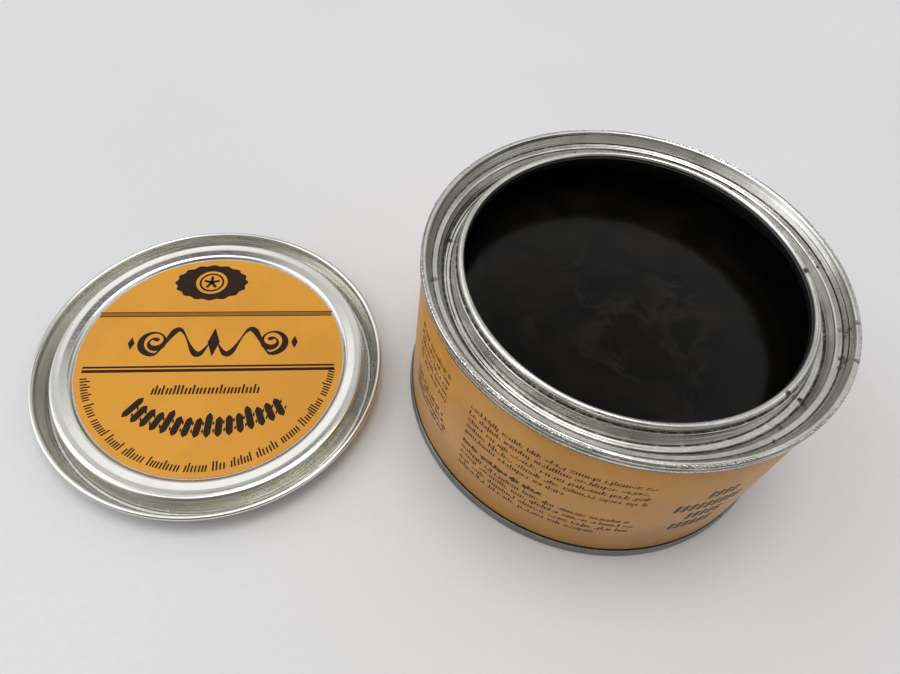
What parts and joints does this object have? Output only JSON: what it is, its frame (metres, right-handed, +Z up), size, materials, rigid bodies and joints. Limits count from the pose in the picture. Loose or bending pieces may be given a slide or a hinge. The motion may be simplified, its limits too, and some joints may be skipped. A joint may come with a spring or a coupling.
{
  "type": "shoe polish tin",
  "caption": "Round press-lid tin of dark wax polish standing open, its stamped lid lying beside it; seamed ends, stepped ring round the mouth, paper labels.",
  "frame": {"origin": "centre of the can's foot on the table, on the can's axis", "axes": "+Z up the can's axis; the lid lies towards -X; +X is the long way of can and lid together"},
  "size_m": [0.2067, 0.102, 0.052],
  "materials": {
    "tinplate": "satin",
    "ring_tinplate": "polished",
    "lid_tinplate": "polished",
    "seam_compound": "matte",
    "body_label_paper": "satin",
    "lid_label_paper": "satin",
    "wax": "satin"
  },
  "bodies": {
    "can": {"can_body": "tinplate", "top_ring": "ring_tinplate", "bottom_end": "tinplate", "top_seam_compound": "seam_compound", "bottom_seam_compound": "seam_compound", "body_label": "body_label_paper", "wax_fill": "wax"},
    "lid": {"lid": "lid_tinplate", "lid_label": "lid_label_paper"}
  },
  "joints": [
    {"name": "lid_lift", "type": "slide", "parent": "can", "child": "lid", "axis": [0, 0, 1], "range_m": [0, 0.1]}
  ]
}
